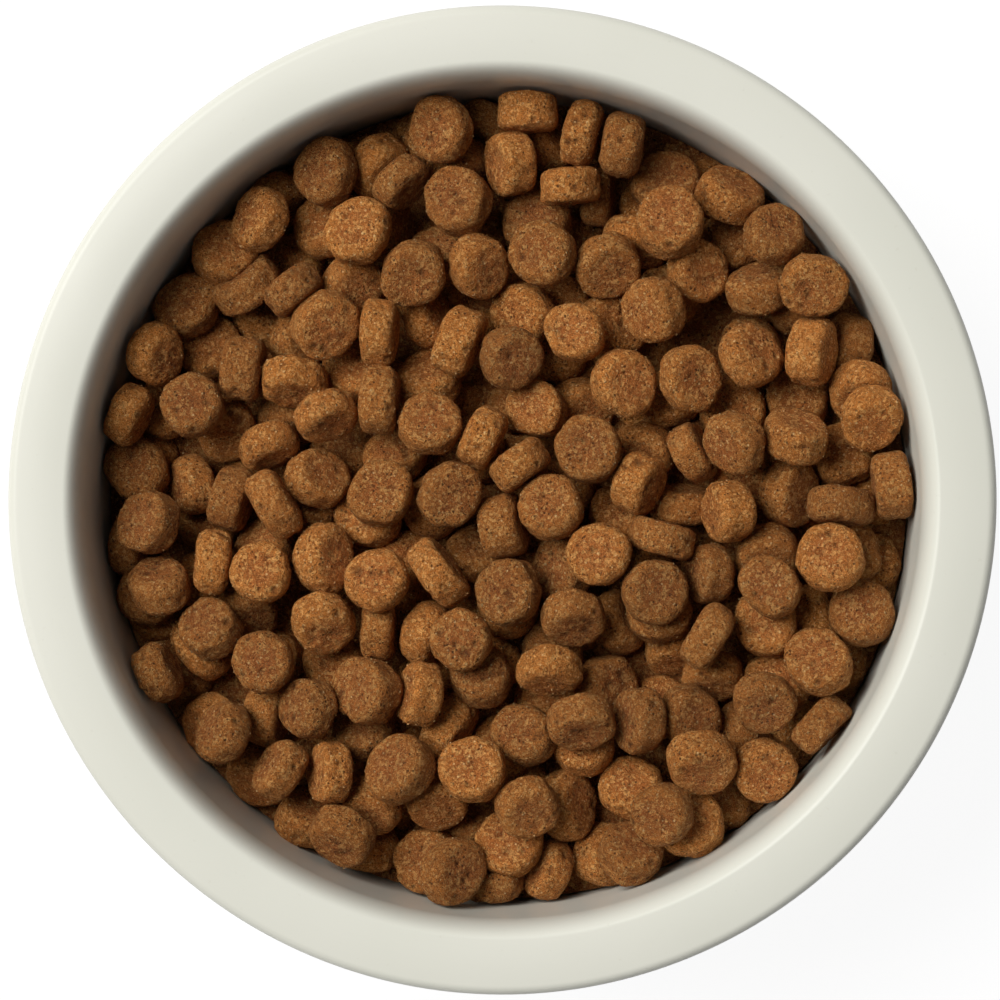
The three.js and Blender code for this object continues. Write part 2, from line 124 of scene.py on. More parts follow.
LOWER_PLACES = [
    (-47.8, 42.3, 25, 80), (-53.0, 36.4, 20, 120), (-40.5, 52.6, 68, 305), (-20.4, 55.0, 60, 318),
    (-29.2, 45.0, 22, 105), (-10.5, 40.0, 30, 90), (-25.3, 35.3, 35, 315), (-4.6, 63.4, 65, 230),
    (-6.3, 57.3, 65, 297), (5.8, 45.6, 20, 100), (22.0, 41.8, 65, 255), (27.3, 52.9, 27, 65),
    (30.0, 34.7, 25, 160), (18.5, 30.0, 35, 20), (-48.8, 26.2, 20, 90), (-56.3, 15.7, 20, 130),
    (-61.2, 5.4, 20, 110), (-45.5, 10.2, 40, 300), (-38.8, 7.3, 70, 290), (-50.0, 2.3, 65, 190),
    (-43.9, 0.6, 80, 345), (-13.2, 29.2, 60, 25), (-12.0, 20.3, 45, 100), (-32.2, 2.2, 45, 40),
    (-24.5, -1.0, 20, 130), (3.5, 30.2, 25, 200), (12.0, 14.9, 35, 330), (5.2, 14.2, 20, 150),
    (25.8, 7.9, 30, 240), (31.3, 6.0, 72, 30), (42.7, 26.4, 20, 130), (49.2, 15.8, 20, 100),
    (58.2, 26.4, 60, 170), (59.6, 18.8, 40, 270), (55.6, 5.7, 25, 80), (48.4, 0.3, 48, 345),
    (38.5, 4.0, 20, 270), (-40.5, -7.0, 45, 120), (-60.6, -15.8, 25, 60), (-42.5, -18.4, 40, 290),
    (-50.6, -24.9, 74, 38), (-5.2, -9.3, 40, 80), (-19.8, -21.2, 86, 356), (-3.6, -29.3, 30, 100),
    (-12.5, -22.0, 75, 330), (29.6, -0.3, 80, 84), (10.3, -11.2, 40, 180), (26.3, -17.9, 15, 100),
    (20.8, -21.0, 65, 25), (18.6, -29.6, 30, 0), (44.0, -6.3, 35, 280), (57.9, -11.5, 12, 140),
    (60.2, -19.0, 18, 100), (52.8, -18.6, 65, 20), (44.6, -21.4, 15, 100), (37.0, -31.0, 55, 265),
    (43.5, -29.6, 20, 90), (42.9, -45.6, 25, 300), (40.1, -38.4, 70, 45), (6.1, -39.5, 25, 140),
    (12.8, -42.6, 25, 100), (29.6, -34.3, 25, 330), (19.8, -48.3, 30, 100), (21.2, -58.3, 45, 70),
    (30.0, -56.4, 20, 110), (12.3, -52.9, 50, 10), (1.9, -59.1, 15, 110), (8.4, -62.6, 58, 160),
    (15.3, -61.8, 50, 350), (-23.6, -38.9, 35, 110), (-9.0, -36.9, 75, 325),
    (-20.6, -50.2, 40, 260), (-10.9, -49.6, 40, 285), (-24.3, -58.9, 60, 80),
    (-11.8, -61.8, 20, 160), (-32.3, -54.2, 50, 60), (-48.0, -40.0, 50, 210),
    (-39.3, -36.6, 75, 350), (-42.2, -46.4, 40, 240), (37.6, 43.7, 20, 100), (39.6, 49.4, 55, 60),
    (35.2, 37.9, 30, 0), (41.2, 34.7, 60, 100), (46.5, 32.6, 30, 90),
]
DEEP_PLACES = [
    (-55.0, 32.8, 35, 200), (-19.0, 37.3, 75, 0), (-22.5, 58.8, 40, 270), (-15.5, 60.3, 40, 300),
    (-16.0, 44.0, 60, 0), (11.0, 59.0, 60, 160), (16.2, 48.5, 85, 0), (21.5, 48.5, 30, 90),
    (6.3, 57.3, 60, 30), (12.5, 45.0, 30, 0), (4.3, 51.5, 30, 90), (-35.0, 26.5, 40, 0),
    (-41.5, 29.0, 50, 45), (-36.5, 12.3, 60, 270), (-52.5, 9.5, 20, 0), (-52.8, 5.2, 40, 180),
    (-18.5, 5.8, 30, 100), (-25.0, 21.0, 30, 90), (-31.5, 17.5, 40, 90), (-28.0, 8.3, 30, 90),
    (9.3, 33.0, 30, 90), (27.5, 13.2, 30, 90), (32.8, 12.6, 40, 90), (37.3, 12.8, 20, 90),
    (-49.8, -5.5, 30, 90), (-53.8, -21.0, 30, 90), (-42.0, -29.5, 20, 200), (-35.5, -6.0, 40, 90),
    (-11.7, -4.3, 50, 30), (-17.0, -9.0, 30, 90), (-23.7, -9.0, 30, 90), (-27.5, -27.5, 20, 90),
    (-14.0, -16.5, 60, 0), (2.5, -18.5, 20, 90), (26.5, -25.8, 60, 280), (17.3, -4.0, 30, 90),
    (24.0, -30.5, 30, 90), (6.0, -23.0, 40, 270), (6.5, -34.0, 30, 90), (60.3, -8.7, 20, 100),
    (57.6, -25.2, 15, 90), (39.0, -12.0, 30, 90), (47.6, -43.0, 50, 330), (38.0, -51.5, 20, 90),
    (35.5, -35.5, 30, 90), (3.0, -45.0, 30, 90), (-16.5, -60.8, 40, 90), (-6.0, -55.3, 50, 80),
    (-3.0, -38.3, 40, 90), (-11.5, -45.0, 40, 90), (-16.5, -39.3, 30, 90), (-51.0, -34.5, 30, 60),
    (34.5, 49.6, 50, 30), (43.6, 39.7, 40, 90),
]

rng = np.random.default_rng(41)

# What is added to a piece's number to seed its colours, its shape and its bran
COLOR_SEED = 1000
SHAPE_SEED = 5000
BRAN_SEED = 9000

TINY = 1e-9


# ---- noise


def lattice(cell, seed):
    """A number from 0 to 1 for each whole cell of space."""
    c = cell.astype(np.int64)
    h = c[:, 0] * 73856093 ^ c[:, 1] * 19349663 ^ c[:, 2] * 83492791 ^ seed * 2654435761
    h = (h ^ (h >> 13)) * 1274126177
    h = (h ^ (h >> 16)) & 0xFFFFFF
    return h / float(0xFFFFFF)


def noise(points, scale, seed):
    """Smooth noise from -1 to 1 whose blobs are about scale across."""
    p = points / scale
    base = np.floor(p)
    f = p - base
    f = f * f * (3 - 2 * f)
    total = np.zeros(len(p))
    for dx in (0, 1):
        for dy in (0, 1):
            for dz in (0, 1):
                w = (
                    (f[:, 0] if dx else 1 - f[:, 0])
                    * (f[:, 1] if dy else 1 - f[:, 1])
                    * (f[:, 2] if dz else 1 - f[:, 2])
                )
                total += w * lattice(base + (dx, dy, dz), seed)
    return total * 2 - 1


# ---- the heap of kibble


def food_height(distance):
    """The height of the food's surface at a distance from the axis."""
    return BOWL_HEIGHT - FILL_DEPTH - HEAP_HEIGHT * (distance / INNER_RADIUS) ** 2


def wall_radius(z):
    """The radius of the inner wall at a height."""
    bottom = FLOOR_THICKNESS + FLOOR_FILLET
    top = BOWL_HEIGHT - RIM_CROWN - FLARE_DEPTH
    share = np.clip((z - bottom) / (top - bottom), 0, 1)
    return INNER_RADIUS - INNER_TAPER * (1 - share)


class Heap:
    """Pieces of kibble as arrays: middle, axis, size and mobility, which is 0 for a fixed piece."""

    def __init__(self):
        self.middle = np.zeros((0, 3))
        self.axis = np.zeros((0, 3))
        self.size = np.zeros(0)
        self.mobility = np.zeros(0)

    def add(self, middle, axis, size, mobility):
        self.middle = np.vstack([self.middle, middle])
        self.axis = np.vstack([self.axis, axis])
        self.size = np.concatenate([self.size, size])
        self.mobility = np.concatenate([self.mobility, np.full(len(size), mobility)])

    @property
    def flat(self):
        """The radius of each piece's flat faces."""
        return self.size * KIBBLE_DIAMETER / 2 - KIBBLE_ROUNDING

    @property
    def core(self):
        """Half the height of each piece's straight side."""
        return self.size * KIBBLE_THICKNESS / 2 - KIBBLE_ROUNDING

    def reach(self, direction):
        """How far each piece reaches from its middle in a direction."""
        along = np.abs(np.sum(self.axis * direction, axis=1))
        across = np.sqrt(np.clip(1 - along**2, 0, 1))
        return self.core * along + self.flat * across + KIBBLE_ROUNDING

    def add_places(self, places, depth, mobility):
        """Adds pieces whose tops lie at a depth under the food's surface."""
        rows = np.array(places, dtype=float)
        rows[:, 0] += PLACES_SHIFT
        lean, heading = np.radians(rows[:, 2]), np.radians(rows[:, 3])
        level = np.sin(lean)
        axis = np.stack([level * np.cos(heading), level * np.sin(heading), np.cos(lean)], axis=1)
        size = rng.uniform(1 - SIZE_SPREAD, 1 + SIZE_SPREAD, len(rows))
        middle = np.column_stack([rows[:, :2], np.zeros(len(rows))])
        start = len(self.size)
        self.add(middle, axis, size, mobility)
        top = food_height(np.hypot(rows[:, 0], rows[:, 1])) - depth
        self.middle[start:, 2] = top - self.reach((0, 0, 1))[start:]
        return np.arange(start, len(self.size))

    def nearest(self, index, point):
        """The points of these pieces' inner cylinders that are nearest to the given ones."""
        middle, axis = self.middle[index], self.axis[index]
        offset = point - middle
        height = np.sum(offset * axis, axis=1)
        radial = offset - height[:, None] * axis
        length = np.linalg.norm(radial, axis=1)
        shrink = np.minimum(1, self.flat[index] / np.maximum(length, TINY))
        core = self.core[index]
        kept = np.clip(height, -core, core)
        return middle + radial * shrink[:, None] + kept[:, None] * axis

    def settle(self, rounds):
        """Eases pieces that overlap apart, near the places where they are now."""
        home = self.middle.copy()
        search = KIBBLE_DIAMETER * (1 + SIZE_SPREAD) + SEARCH_MARGIN
        for step in range(rounds):
            if step % SEARCH_ROUNDS == 0:
                apart = np.linalg.norm(self.middle[:, None] - self.middle[None], axis=2)
                near = np.triu(apart < search, 1)
                moves = self.mobility[:, None] + self.mobility[None] > 0
                a, b = np.nonzero(near & moves)
                on_a = self.middle[a].copy()
            pull = HOME_PULL * (1 - PULL_LOSS * step / rounds)
            free = self.mobility > 0
            self.middle[free] += pull * (home - self.middle)[free]
            for _ in range(CONTACT_ROUNDS):
                on_b = self.nearest(b, on_a)
                on_a = self.nearest(a, on_b)
            between = on_b - on_a
            length = np.linalg.norm(between, axis=1)
            middles = self.middle[b] - self.middle[a]
            way = np.where((length > 0.01)[:, None], between, middles)
            way /= np.maximum(np.linalg.norm(way, axis=1), TINY)[:, None]
            lack = np.maximum(0, GAP + 2 * KIBBLE_ROUNDING - length)
            total = self.mobility[a] + self.mobility[b]
            shift = np.zeros((len(self.size), 3))
            hits = np.zeros(len(self.size))
            np.add.at(shift, a, -way * (lack * self.mobility[a] / total)[:, None])
            np.add.at(shift, b, way * (lack * self.mobility[b] / total)[:, None])
            np.add.at(hits, a, lack > 0)
            np.add.at(hits, b, lack > 0)
            self.middle += shift * (SHARED_CONTACTS / np.maximum(hits, SHARED_CONTACTS))[:, None]
            low, top = home[:, 2] - MOST_SINKING * self.mobility, home[:, 2] + MOST_RISE
            self.middle[:, 2] = np.clip(self.middle[:, 2], low, np.where(free, top, low))
            self.keep_inside(free)

    def overlaps(self, members, others):
        """How far each of some pieces reaches into any of the others."""
        worst = []
        for i in members:
            a = np.full(len(others), i)
            on_a = self.middle[a].copy()
            for _ in range(OVERLAP_ROUNDS):
                on_b = self.nearest(others, on_a)
                on_a = self.nearest(a, on_b)
            worst.append(2 * KIBBLE_ROUNDING - np.min(np.linalg.norm(on_b - on_a, axis=1)))
        return np.array(worst)

    def keep_inside(self, free):
        """Moves free pieces that reach into the wall back towards the axis."""
        distance = np.hypot(self.middle[:, 0], self.middle[:, 1])
        outward = np.column_stack([self.middle[:, :2], np.zeros(len(distance))])
        outward /= np.maximum(distance, TINY)[:, None]
        sideways = np.column_stack([-outward[:, 1], outward[:, 0], outward[:, 2]])
        bulge = self.reach(sideways) ** 2 / (4 * INNER_RADIUS)
        limit = wall_radius(self.middle[:, 2]) - GAP - bulge - self.reach(outward)
        over = np.where(free, np.maximum(0, distance - limit), 0)
        self.middle -= outward * over[:, None]


def loose_pieces(heap):
    """The poses of the CAD's loose pieces, read from their meshes."""
    names = sorted(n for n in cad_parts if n.startswith("kibble_") and n != "kibble_bed")
    for name in names:
        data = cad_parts[name].data
        points = np.empty(len(data.vertices) * 3, dtype=np.float32)
        data.vertices.foreach_get("co", points)
        points = np.unique(np.round(points.reshape(-1, 3) / MM, 3), axis=0).astype(float)
        middle = points.mean(axis=0)
        _, vectors = np.linalg.eigh(np.cov((points - middle).T))
        axis = vectors[:, 0] * (1 if vectors[2, 0] >= 0 else -1)
        size = np.ptp((points - middle) @ axis) / KIBBLE_THICKNESS
        heap.add(middle[None], axis[None], np.array([size]), mobility=0.0)
    return names


def wall_places(heap):
    """Places on edge against the wall where the given pieces leave it bare."""
    places = []
    distance = INNER_RADIUS - WALL_STAND_OFF
    for turn in range(0, 360, WALL_STEP):
        x, y = distance * math.cos(math.radians(turn)), distance * math.sin(math.radians(turn))
        others = np.vstack([heap.middle[:, :2]] + [np.array([[a, b]]) for a, b, *_ in places])
        if np.min(np.hypot(others[:, 0] - x, others[:, 1] - y)) > BARE_WALL:
            lean = rng.uniform(*WALL_LEANS)
            heading = turn + 180 + rng.uniform(-WALL_TURN, WALL_TURN)
            places.append((x - PLACES_SHIFT, y, lean, heading))
    return places


def hidden_places():
    """Places under the deep pieces, in rings, at all sorts of leans."""
    pitch = (INNER_RADIUS - HIDDEN_EDGE) / (HIDDEN_RINGS - 1)
    places = []
    for ring in range(HIDDEN_RINGS):
        count = max(1, round(2 * math.pi * ring))
        for i in range(count):
            angle = 2 * math.pi * (i + rng.uniform(-0.2, 0.2)) / count
            distance = pitch * (ring + rng.uniform(-0.15, 0.15))
            x, y = distance * math.cos(angle), distance * math.sin(angle)
            places.append((x, y, rng.uniform(*HIDDEN_LEANS), rng.uniform(0, 360)))
    return places


# ---- meshes


def add_object(name, points, faces, material):
    """A smooth-shaded mesh object whose faces all have the same number of sides."""
    mesh = bpy.data.meshes.new(name)
    mesh.vertices.add(len(points))
    mesh.vertices.foreach_set("co", np.ascontiguousarray(points, dtype=np.float32).ravel())
    sides = faces.shape[1]
    mesh.loops.add(faces.size)
    mesh.loops.foreach_set("vertex_index", faces.ravel().astype(np.int32))
    mesh.polygons.add(len(faces))
    mesh.polygons.foreach_set("loop_start", np.arange(0, faces.size, sides, dtype=np.int32))
    mesh.polygons.foreach_set("use_smooth", np.full(len(faces), True))
    mesh.update(calc_edges=True)
    mesh.validate()
    mesh.materials.append(material)
    obj = bpy.data.objects.new(name, mesh)
    bpy.context.scene.collection.objects.link(obj)
    return obj


def set_attribute(obj, name, values):
    """Gives each point of an object a number or a vector that its material reads."""
    kind = "FLOAT_VECTOR" if values.ndim == 2 else "FLOAT"
    attribute = obj.data.attributes.new(name, kind, "POINT")
    key = "vector" if values.ndim == 2 else "value"
    attribute.data.foreach_set(key, np.ascontiguousarray(values, dtype=np.float32).ravel())


def box_grid(around, high):
    """Directions to the points of a box's grid, and its four-sided faces, facing out."""
    u = np.linspace(-1, 1, around + 1)
    w = np.linspace(-1, 1, high + 1)
    points, faces, start = [], [], 0

    def patch(rows, columns, place):
        nonlocal start
        for r in rows:
            for c in columns:
                points.append(place(r, c))
        m, n = len(rows), len(columns)
        for i in range(m - 1):
            for j in range(n - 1):
                k = start + i * n + j
                faces.append((k, k + n, k + n + 1, k + 1))
        start += m * n

    patch(u, u, lambda a, b: (a, b, 1))
    patch(u, u, lambda a, b: (b, a, -1))
    patch(u, w, lambda a, b: (-a, 1, b))
    patch(u, w, lambda a, b: (a, -1, b))
    patch(u, w, lambda a, b: (1, a, b))
    patch(u, w, lambda a, b: (-1, -a, b))
    points = np.array(points)
    unique, back = np.unique(np.round(points, 6), axis=0, return_inverse=True)
    return unique, back.reshape(-1)[np.array(faces)]


def puck_surface(direction, flat, core, rounding):
    """Where rays from the middle leave a puck with soft edges."""
    out = np.hypot(direction[:, 0], direction[:, 1])
    up = np.abs(direction[:, 2])
    on_face = (core + rounding) / np.maximum(up, TINY)
    on_side = (flat + rounding) / np.maximum(out, TINY)
    b = out * flat + up * core
    a = out**2 + up**2
    c = flat**2 + core**2 - rounding**2
    on_edge = (b + np.sqrt(np.maximum(b * b - a * c, 0))) / a
    t = np.where(out * on_face <= flat, on_face, on_edge)
    t = np.where(up * on_side <= core, on_side, t)
    return direction * t[:, None]


def frame_of(axis, turn):
    """The rows of a rotation that takes z to an axis, after a turn about z."""
    helper = np.array([1.0, 0, 0]) if abs(axis[0]) < 0.8 else np.array([0, 1.0, 0])
    x = np.cross(helper, axis)
    x /= np.linalg.norm(x)
    y = np.cross(axis, x)
    c, s = math.cos(turn), math.sin(turn)
    return np.stack([c * x + s * y, -s * x + c * y, axis])


# How far a piece strays from an even puck: shares of its size
THINNEST = 0.9
SHARPEST_EDGE = 0.65
MOST_OVAL = 0.08
OUTLINE_WAVES = (2, 3, 4, 7)  # bumps round the outline
MOST_WAVE = 0.018
NARROWEST = 0.95
MOST_WEDGE = 0.05
# The same in millimetres
MOST_DOME = 0.35
LUMPS = ((0.17, 3.4), (0.12, 1.7), (0.12, 0.95))  # height and width
SPOTS = 34  # dents and warts on a piece
SPOT_WIDTHS = (0.35, 0.7)
SPOT_HEIGHTS = (-0.32, 0.2)
BIG_SPOTS = 2
BIG_SPOT_WIDTHS = (0.9, 1.6)
BIG_SPOT_HEIGHTS = (-0.4, -0.1)
DENT_SHADE_DEPTH = 0.25  # depth from which a narrow dent gets as much painted shade as a pore


def kibble_points(grid, size, seed, detail):
    """One piece's points about its middle, with its axis along z.

    With them come their places in the crumb, how far each is in from the edge of the flat faces,
    and how deep it is in a dent, which the material paints as shade.
    """
    r = np.random.default_rng(seed)
    flat = size * KIBBLE_DIAMETER / 2 - KIBBLE_ROUNDING
    core = size * KIBBLE_THICKNESS / 2 - KIBBLE_ROUNDING
    radius, half = flat + KIBBLE_ROUNDING, (core + KIBBLE_ROUNDING) * r.uniform(THINNEST, 1.0)
    rounding = KIBBLE_ROUNDING * r.uniform(SHARPEST_EDGE, 1.0)
    direction = grid * (radius, radius, half)
    p = puck_surface(direction, radius - rounding, half - rounding, rounding)
    face = np.clip(1 - np.hypot(p[:, 0], p[:, 1]) / (radius - 0.5 * rounding), 0, 1)
    shift = r.uniform(-500, 500, 3)

    # The outline is a little oval and uneven, and the faces are a little domed and out of true.
    angle = np.arctan2(p[:, 1], p[:, 0])
    oval = 1 + r.uniform(0, MOST_OVAL) * np.cos(2 * (angle - r.uniform(0, math.pi)))
    uneven = 0
    for k in OUTLINE_WAVES:
        uneven = uneven + r.uniform(0, MOST_WAVE) * np.cos(k * angle + r.uniform(0, 6.28))
    p[:, :2] *= (oval * (1 + uneven) * r.uniform(NARROWEST, 1.0))[:, None]
    spread = 1 - (np.hypot(p[:, 0], p[:, 1]) / radius) ** 2
    p[:, 2] += np.sign(p[:, 2]) * np.clip(spread, 0, 1) * r.uniform(-MOST_DOME, MOST_DOME)
    p[:, 2] += p[:, 0] * r.uniform(-MOST_WEDGE, MOST_WEDGE)

    normal = p / np.linalg.norm(p, axis=1)[:, None]
    normal[:, 2] += np.sign(p[:, 2]) * face * 2
    normal /= np.linalg.norm(normal, axis=1)[:, None]
    crumb = p + shift
    lift = sum(high * noise(crumb, wide, i) for i, (high, wide) in enumerate(LUMPS, 1))
    depth = np.zeros(len(p))
    if detail:
        spots = r.normal(size=(SPOTS, 3))
        spots /= np.linalg.norm(spots, axis=1)[:, None]
        spots = puck_surface(spots, radius - rounding, half - rounding, rounding)
        widths = r.uniform(*SPOT_WIDTHS, SPOTS)
        heights = r.uniform(*SPOT_HEIGHTS, SPOTS)
        widths[:BIG_SPOTS] = r.uniform(*BIG_SPOT_WIDTHS, BIG_SPOTS)
        heights[:BIG_SPOTS] = r.uniform(*BIG_SPOT_HEIGHTS, BIG_SPOTS)
        for spot, width, height in zip(spots, widths, heights):
            bump = np.exp(-np.sum((p - spot) ** 2, axis=1) / width**2)
            lift += height * bump
            # A narrow dent gets painted shade, darker the deeper it is.
            if height < 0 and width < 1:
                depth = np.maximum(depth, bump * min(1, -height / DENT_SHADE_DEPTH))
    p += normal * lift[:, None]
    return p, crumb, face, depth


GRIDS = {}  # box_grid's results, by their arguments
GRAINS = 18  # of bran on each piece
GRAIN_SIZES = (0.07, 0.17)  # half of each side in millimetres
GRAIN_SKEW = 0.03
CUBE_CORNERS = np.array([(x, y, z) for z in (-1, 1) for y in (-1, 1) for x in (-1, 1)], dtype=float)
CUBE_FACES = np.array(
    [(0, 2, 3, 1), (4, 5, 7, 6), (0, 1, 5, 4), (2, 6, 7, 3), (0, 4, 6, 2), (1, 3, 7, 5)]
)


def grit(points, seed):
    """Angular grains of bran that stick to a piece's surface."""
    r = np.random.default_rng(seed)
    corners = []
    for at in points[r.integers(0, len(points), GRAINS)]:
        turn, _ = np.linalg.qr(r.normal(size=(3, 3)))
        turn[:, 0] *= np.sign(np.linalg.det(turn))
        grain = CUBE_CORNERS * r.uniform(*GRAIN_SIZES, 3)
        grain += r.uniform(-GRAIN_SKEW, GRAIN_SKEW, (8, 3))
        corners.append(at + grain @ turn.T)
    faces = (np.arange(GRAINS)[:, None, None] * 8 + CUBE_FACES).reshape(-1, 4)
    return np.vstack(corners), faces


def kibble_mesh(name, heap, members, around, high, material, detail=True):
    """The given pieces of a heap as one mesh object.

    around and high are the steps of each piece's box_grid. Without detail, the pieces have no
    dents, warts or bran.
    """
    if (around, high) not in GRIDS:
        GRIDS[around, high] = box_grid(around, high)
    grid, faces = GRIDS[around, high]
    points, crumbs, all_faces, count = [], [], [], 0
    values = {"tone": [], "hue": [], "rim": [], "dent_shade": [], "bran": []}
    for i in members:
        r = np.random.default_rng(COLOR_SEED + int(i))
        p, crumb, face, dent_shade = kibble_points(grid, heap.size[i], SHAPE_SEED + int(i), detail)
        turn = r.uniform(0, 2 * math.pi)
        tone, hue = r.uniform(0, 1, 2)
        piece_faces = faces
        rim = np.clip(1 - face * 2.2, 0, 1)
        bran = np.zeros(len(p))
        if detail:
            grains, grain_faces = grit(p, BRAN_SEED + int(i))
            piece_faces = np.vstack([faces, grain_faces + len(p)])
            p, crumb = np.vstack([p, grains]), np.vstack([crumb, grains])
            shade = np.repeat(r.uniform(0.3, 1, GRAINS), 8)
            bran = np.concatenate([bran, shade])
            rim, dent_shade = [np.concatenate([v, np.zeros(len(grains))]) for v in (rim, dent_shade)]
        points.append(p @ frame_of(heap.axis[i], turn) + heap.middle[i])
        crumbs.append(crumb)
        all_faces.append(piece_faces + count)
        count += len(p)
        tones = (np.full(len(p), tone), np.full(len(p), hue), rim, dent_shade, bran)
        for rows, row in zip(values.values(), tones):
            rows.append(row)
    obj = add_object(name, np.vstack(points) * MM, np.vstack(all_faces), material)
    set_attribute(obj, "crumb", np.vstack(crumbs))
    for key, rows in values.items():
        set_attribute(obj, key, np.concatenate(rows))
    return obj


def lathe(name, profile, segments, material):
    """A turned body whose profile runs from the axis back to the axis, outside first."""
    profile = np.array(profile) * MM
    inner = profile[1:-1]
    angles = np.linspace(0, 2 * math.pi, segments, endpoint=False)
    rings = np.stack(
        [
            np.outer(inner[:, 0], np.cos(angles)),
            np.outer(inner[:, 0], np.sin(angles)),
            np.outer(inner[:, 1], np.ones(segments)),
        ],
        axis=2,
    ).reshape(-1, 3)
    points = np.vstack([rings, [[0, 0, profile[0, 1]]], [[0, 0, profile[-1, 1]]]])
    faces = []
    for i in range(len(inner) - 1):
        for j in range(segments):
            k = (j + 1) % segments
            a, b = i * segments + j, i * segments + k
            faces.append((a, b, b + segments, a + segments))
    low, high = len(rings), len(rings) + 1
    last = (len(inner) - 1) * segments
    caps = []
    for j in range(segments):
        k = (j + 1) % segments
        caps.append((low, k, j))
        caps.append((high, last + j, last + k))
    mesh = bpy.data.meshes.new(name)
    mesh.from_pydata(points.tolist(), [], faces + caps)
    mesh.polygons.foreach_set("use_smooth", np.full(len(mesh.polygons), True))
    mesh.update()
    mesh.materials.append(material)
    obj = bpy.data.objects.new(name, mesh)
    bpy.context.scene.collection.objects.link(obj)
    return obj


def arc(r, z, radius, start, end, steps, height=None):
    """Points of a circle's arc, or of an ellipse's where a height is given."""
    turns = np.radians(np.linspace(start, end, steps + 1))
    height = radius if height is None else height
    return [(r + radius * math.cos(t), z + height * math.sin(t)) for t in turns]


def bowl_profile():
    """The bowl's half section, from the axis under the floor round to the axis above it."""
    base_radius = OUTER_RADIUS - OUTER_TAPER
    foot_radius = base_radius - FOOT_INSET
    foot_inside = foot_radius - FOOT_WIDTH
    rim_edge = BOWL_HEIGHT - RIM_CROWN
    outer_edge = OUTER_RADIUS - RIM_OUTER_ROUNDING
    inner_edge = INNER_RADIUS + FLARE_WIDTH
    wall_bottom = FOOT_HEIGHT + BASE_ROUNDING
    wall_top = rim_edge - RIM_OUTER_ROUNDING
    floor_radius = INNER_RADIUS - INNER_TAPER
    profile = [(0, FOOT_HEIGHT)]
    profile += [(foot_inside - FOOT_HEIGHT - 4, FOOT_HEIGHT)]
    profile += [(foot_inside - FOOT_HEIGHT, FOOT_HEIGHT)]
    edge = FOOT_INNER_ROUNDING
    profile += arc(foot_inside + edge, edge, edge, -150, -90, 3)
    edge = FOOT_OUTER_ROUNDING
    profile += arc(foot_radius - edge, edge, edge, -90, 0, 4)
    profile += [(foot_radius, FOOT_HEIGHT - 0.4)]
    profile += arc(base_radius - BASE_ROUNDING, wall_bottom, BASE_ROUNDING, -58, 0, 12)
    for share in np.linspace(0, 1, 14)[1:-1]:
        swell = WALL_BELLY * math.sin(math.pi * share)
        radius = base_radius + OUTER_TAPER * share + swell
        profile.append((radius, wall_bottom + (wall_top - wall_bottom) * share))
    profile += arc(outer_edge, wall_top, RIM_OUTER_ROUNDING, 0, 88, 12)
    for share in (0.03, *np.linspace(0, 1, 9)[1:-1], 0.98):
        crown = RIM_CROWN * (1 - (2 * share - 1) ** 2)
        profile.append((outer_edge + (inner_edge - outer_edge) * share, rim_edge + crown))
    profile += arc(inner_edge, rim_edge - FLARE_DEPTH, FLARE_WIDTH, 90, 180, 24, FLARE_DEPTH)
    center_z = FLOOR_THICKNESS + FLOOR_FILLET
    profile += [(INNER_RADIUS - INNER_TAPER * s, z) for s, z in ((0.3, 45.0), (0.6, 34.0))]
    profile += arc(floor_radius - FLOOR_FILLET, center_z, FLOOR_FILLET, 0, -90, 8)
    profile += [(0, FLOOR_THICKNESS)]
    return profile


# ---- materials


class Nodes:
    """A short way to write a material's node tree."""

    def __init__(self, name):
        self.material = bpy.data.materials.new(name)
        self.material.use_nodes = True
        self.tree = self.material.node_tree
        self.tree.nodes.clear()
        self.output = self.tree.nodes.new("ShaderNodeOutputMaterial")

    def add(self, kind, inputs=None, **settings):
        node = self.tree.nodes.new("ShaderNode" + kind)
        for key, value in settings.items():
            setattr(node, key, value)
        for key, value in (inputs or {}).items():
            self.put(node.inputs[key], value)
        return node

    def put(self, socket, value):
        if isinstance(value, bpy.types.NodeSocket):
            self.tree.links.new(value, socket)
        else:
            socket.default_value = value

    def attribute(self, name, vector=False):
        node = self.add("Attribute", attribute_name=name)
        return node.outputs["Vector" if vector else "Fac"]

    def math(self, operation, a, b):
        return self.add("Math", {0: a, 1: b}, operation=operation).outputs[0]

    def remap(self, value, low, high, to_low=0.0, to_high=1.0):
        """A smooth step from to_low, at low, to to_high, at high."""
        node = self.add("MapRange", {0: value, 1: low, 2: high, 3: to_low, 4: to_high})
        node.interpolation_type = "SMOOTHSTEP"
        return node.outputs[0]

    def noise(self, vector, scale, detail, roughness=0.55):
        inputs = {"Vector": vector, "Scale": scale, "Detail": detail, "Roughness": roughness}
        return self.add("TexNoise", inputs).outputs["Fac"]

    def cells(self, vector, scale):
        return self.add("TexVoronoi", {"Vector": vector, "Scale": scale})

    def mix(self, factor, a, b, blend="MIX"):
        node = self.add("Mix", data_type="RGBA", blend_type=blend)
        self.put(node.inputs[0], factor)
        self.put(node.inputs[6], a)
        self.put(node.inputs[7], b)
        return node.outputs[2]

    def bump(self, height, distance, normal=None, strength=1.0):
        inputs = {"Height": height, "Distance": distance, "Strength": strength}
        if normal is not None:
            inputs["Normal"] = normal
        return self.add("Bump", inputs).outputs[0]


